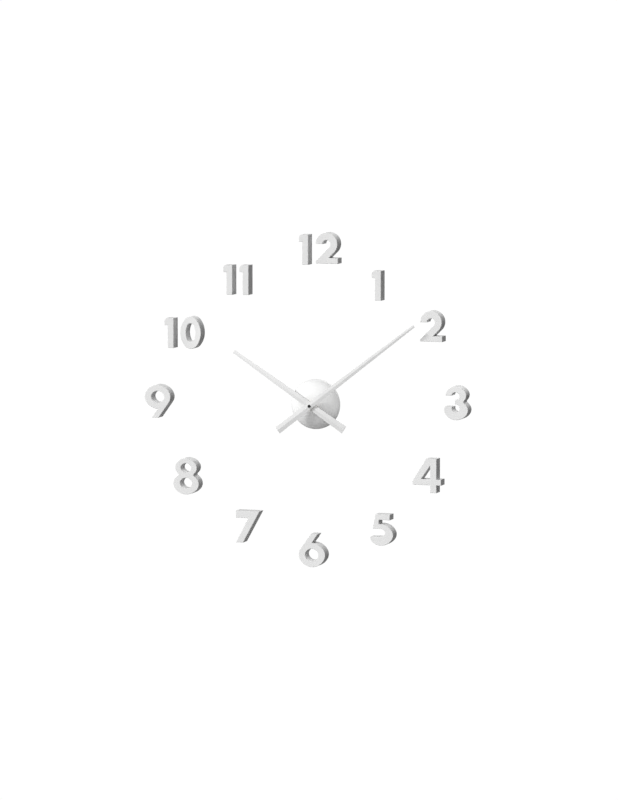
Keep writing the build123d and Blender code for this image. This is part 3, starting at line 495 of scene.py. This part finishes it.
def battery():
    low, high, middle = middle_of("battery")
    start, along = (low.x, middle.y, middle.z), (1, 0, 0)
    radius, lip = (high.z - low.z) / 2, SLEEVE_FOLD / 2
    shoulder = high.x - low.x - NUB_LENGTH
    fold = [(lip, SLEEVE_MOUTH), (0, SLEEVE_MOUTH), (0, radius - SLEEVE_FOLD),
            (lip / 2, radius - lip / 2), (SLEEVE_FOLD, radius)]
    far_fold = [(shoulder - distance, reach) for distance, reach in reversed(fold)]
    wrap = bmesh.new()
    lathe(wrap, fold + far_fold, start, along, closed=True, sides=BATTERY_SIDES)
    piece("battery_wrap", wrap, SLEEVE, "battery_sleeve", "battery")

    tip, inside = shoulder + NUB_LENGTH, shoulder - SLEEVE_FOLD
    can_foot = [(lip, SLEEVE_MOUTH), (lip, CAN_PAD), (0, CAN_PAD - lip), (0, 0),
                (SLEEVE_FOLD, 0), (SLEEVE_FOLD, SLEEVE_MOUTH)]
    can_top = [(shoulder - lip, SLEEVE_MOUTH), (shoulder - lip, NUB_RADIUS + lip), (shoulder, NUB_RADIUS),
               (tip - lip, NUB_RADIUS), (tip, NUB_RADIUS - lip), (tip, 0),
               (inside, 0), (inside, SLEEVE_MOUTH)]
    ends = bmesh.new()
    for profile in (can_foot, can_top):
        lathe(ends, profile, start, along, closed=True, sides=BATTERY_SIDES)
    piece("battery_ends", ends, NICKEL, "nickel_strip")


def contact_strip():
    low, high, _ = middle_of("battery_contact_negative")
    outline = rounded((low.y, low.z), (high.y, high.z), STRIP_CORNER)
    made = bmesh.new()
    stack(made, [[(x, y, z) for y, z in outline] for x in (low.x, low.x + STRIP_THICKNESS)])
    rims = [edge for edge in made.edges
            if abs(edge.verts[0].co.x - edge.verts[1].co.x) < STRIP_THICKNESS / 2]
    bmesh.ops.bevel(made, geom=rims, offset=STRIP_BEVEL, segments=STRIP_BEVEL_STEPS, affect="EDGES")
    piece("contact_strip", made, NICKEL, "nickel_strip", "battery_contact_negative")


def contact_spring():
    """A conical spring between the contact strip and the battery."""
    low, high, _ = middle_of("battery_contact_negative")
    seat = middle_of("battery")[2]
    line = bpy.data.curves.new("contact_spring", "CURVE")
    line.dimensions = "3D"
    line.bevel_depth = SPRING_WIRE
    line.bevel_resolution = WIRE_ROUNDING
    line.use_fill_caps = True
    coil = line.splines.new("NURBS")
    coil.points.add(SPRING_TURNS * SPRING_POINTS)
    start, end = low.x + STRIP_THICKNESS + SPRING_WIRE, high.x - SPRING_WIRE
    for place, point in enumerate(coil.points):
        share = place / (len(coil.points) - 1)
        turn = 2 * math.pi * SPRING_TURNS * share
        reach = SPRING_WIDE + (SPRING_NARROW - SPRING_WIDE) * share
        x, y, z = start + (end - start) * share, reach * math.cos(turn), reach * math.sin(turn)
        point.co = (x, seat.y + y, seat.z + z, 1)
    coil.order_u = 3
    coil.use_endpoint_u = True
    line.materials.append(NICKEL)
    settle("contact_spring", line, "nickel_strip")


def wound_coil():
    low, high, middle = middle_of("drive_coil")
    start, along = (low.x, middle.y, middle.z), (1, 0, 0)
    length, radius = high.x - low.x, (high.z - low.z) / 2
    near, far = BOBBIN_FLANGE, length - BOBBIN_FLANGE
    bobbin = bmesh.new()
    lathe(bobbin, [(0, radius), (near, radius), (near, BOBBIN_CORE), (far, BOBBIN_CORE),
                   (far, radius), (length, radius), (length, BOBBIN_BORE), (0, BOBBIN_BORE)],
          start, along, closed=True)
    piece("coil_bobbin", bobbin, GEAR, "gear_plastic", "drive_coil")

    rows = enumerate(steps(near, far, WINDING_PITCH / 2))
    outside = [(distance, WINDING_RADIUS - WINDING_GROOVE * (place % 2)) for place, distance in rows]
    turns = bmesh.new()
    lathe(turns, outside + [(far, BOBBIN_CORE), (near, BOBBIN_CORE)], start, along, closed=True,
          sides=WINDING_SIDES)
    piece("coil_winding", turns, FINISHES["copper_wire"], "copper_wire")


foam_tape("foam_squares", "numeral_adhesive_pads")
foam_tape("foam_strip", "hub_adhesive_pad")
bushing()
screws()
battery()
contact_strip()
contact_spring()
wound_coil()


# Camera and studio
def point_along(item, direction):
    item.rotation_mode = "QUATERNION"
    item.rotation_quaternion = direction.to_track_quat("-Z", "Y")


def photo_camera():
    level = math.cos(ELEVATION)
    back = Vector((math.sin(AZIMUTH) * level, -math.cos(AZIMUTH) * level, math.sin(ELEVATION)))
    camera = add("camera", bpy.data.cameras.new("camera"))
    camera.data.lens = LENS
    camera.data.clip_end = CLIP_END
    point_along(camera, -back)
    camera.location = camera.rotation_quaternion @ Vector((AIM_RIGHT, AIM_UP, 0)) + back * DISTANCE
    bpy.context.scene.camera = camera


def key_light():
    key = add("key", bpy.data.lights.new("key", "SUN"))
    key.data.energy = KEY_STRENGTH
    key.data.angle = KEY_ANGLE
    point_along(key, -KEY_FROM)


def lamp(place, target, power, cone, edge):
    made = add("lamp", bpy.data.lights.new("lamp", "SPOT"))
    made.data.energy = power
    made.data.spot_size = cone
    made.data.spot_blend = edge
    made.data.shadow_soft_size = LAMP_SIZE
    made.visible_glossy = False
    made.location = place
    point_along(made, Vector(target) - made.location)


def studio_floor():
    plate = bmesh.new()
    bmesh.ops.create_circle(plate, cap_ends=True, radius=FLOOR_RADIUS, segments=FLOOR_SIDES)
    floor = add("floor", bpy.data.meshes.new("floor"))
    plate.to_mesh(floor.data)
    plate.free()
    floor.location = (0, 0, -FLOOR_DROP)
    floor.data.materials.append(floor_paint())


def surroundings():
    """Soft light from all sides, with a plain white background."""
    world = bpy.data.worlds.new("studio")
    bpy.context.scene.world = world
    world.use_nodes = True
    tree = world.node_tree
    ambient = tree.nodes["Background"]
    way = tree.nodes.new("ShaderNodeTexCoord")

    def worked_out(operation, first, second):
        made = tree.nodes.new("ShaderNodeMath")
        made.operation = operation
        for socket, value in zip(made.inputs, (first, second)):
            if isinstance(value, (int, float)):
                socket.default_value = value
            else:
                tree.links.new(value, socket)
        return made.outputs["Value"]

    glow = 0.0
    for source, strength, tightness in LOBES:
        lean = tree.nodes.new("ShaderNodeVectorMath")
        lean.operation = "DOT_PRODUCT"
        lean.inputs[1].default_value = Vector(source).normalized()
        tree.links.new(way.outputs["Generated"], lean.inputs[0])
        facing = worked_out("MAXIMUM", lean.outputs["Value"], 0.0)
        lobe = worked_out("MULTIPLY", worked_out("POWER", facing, tightness), strength)
        glow = worked_out("ADD", lobe, glow)
    tree.links.new(glow, ambient.inputs["Color"])

    white = tree.nodes.new("ShaderNodeBackground")
    white.inputs["Strength"].default_value = WHITE_STRENGTH
    white.inputs["Color"].default_value = (1, 1, 1, 1)
    path = tree.nodes.new("ShaderNodeLightPath")
    sheen = worked_out("MULTIPLY", path.outputs["Is Glossy Ray"], WHITE_SHEEN)
    mix = tree.nodes.new("ShaderNodeMixShader")
    tree.links.new(worked_out("MAXIMUM", path.outputs["Is Camera Ray"], sheen), mix.inputs["Fac"])
    tree.links.new(ambient.outputs["Background"], mix.inputs[1])
    tree.links.new(white.outputs["Background"], mix.inputs[2])
    tree.links.new(mix.outputs["Shader"], tree.nodes["World Output"].inputs["Surface"])
    bpy.context.scene.view_settings.view_transform = "Standard"


photo_camera()
key_light()
for settings in LAMPS:
    lamp(*settings)
studio_floor()
surroundings()
